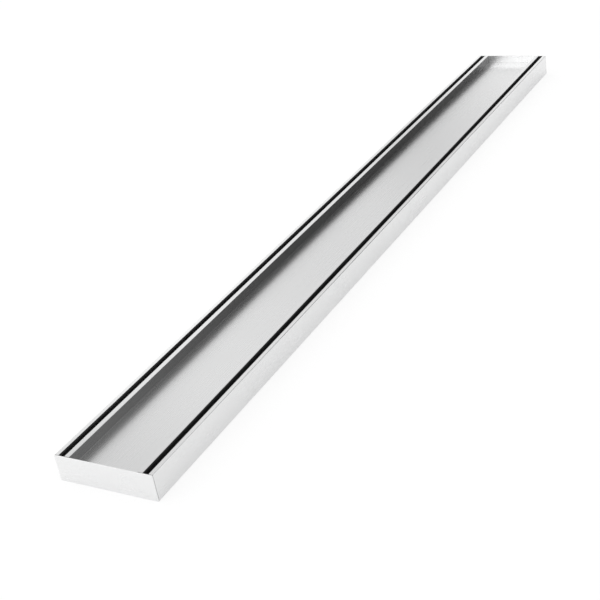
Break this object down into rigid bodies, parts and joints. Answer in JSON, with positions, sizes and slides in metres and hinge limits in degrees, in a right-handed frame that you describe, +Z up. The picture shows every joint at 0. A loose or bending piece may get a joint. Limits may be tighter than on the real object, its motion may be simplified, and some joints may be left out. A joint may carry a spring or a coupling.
{
  "type": "linear shower drain",
  "caption": "Slim linear shower drain: an aluminium channel with a lift-out tray for a tile, a narrow water slot along each side, closed ends and a hidden floor outlet.",
  "frame": {"origin": "centre of the underside, where the drain lies on its bed", "axes": "+X along the drain, +Y across it towards the left wall, +Z up out of the tray"},
  "size_m": [1, 0.1, 0.026],
  "materials": {
    "channel_aluminium": "satin anodised, fine lengthwise extrusion grain",
    "tray_aluminium": "bright satin anodised, fine lengthwise extrusion grain",
    "cap_aluminium": "fine brushed across the drain",
    "foot_plastic": "black moulded plastic, fine matt texture"
  },
  "bodies": {
    "root": {"base_channel": "channel_aluminium", "tile_tray": "tray_aluminium", "end_cap_left": "cap_aluminium", "end_cap_right": "cap_aluminium", "support_foot_1": "foot_plastic", "support_foot_2": "foot_plastic", "support_foot_3": "foot_plastic", "support_foot_4": "foot_plastic"}
  },
  "joints": []
}
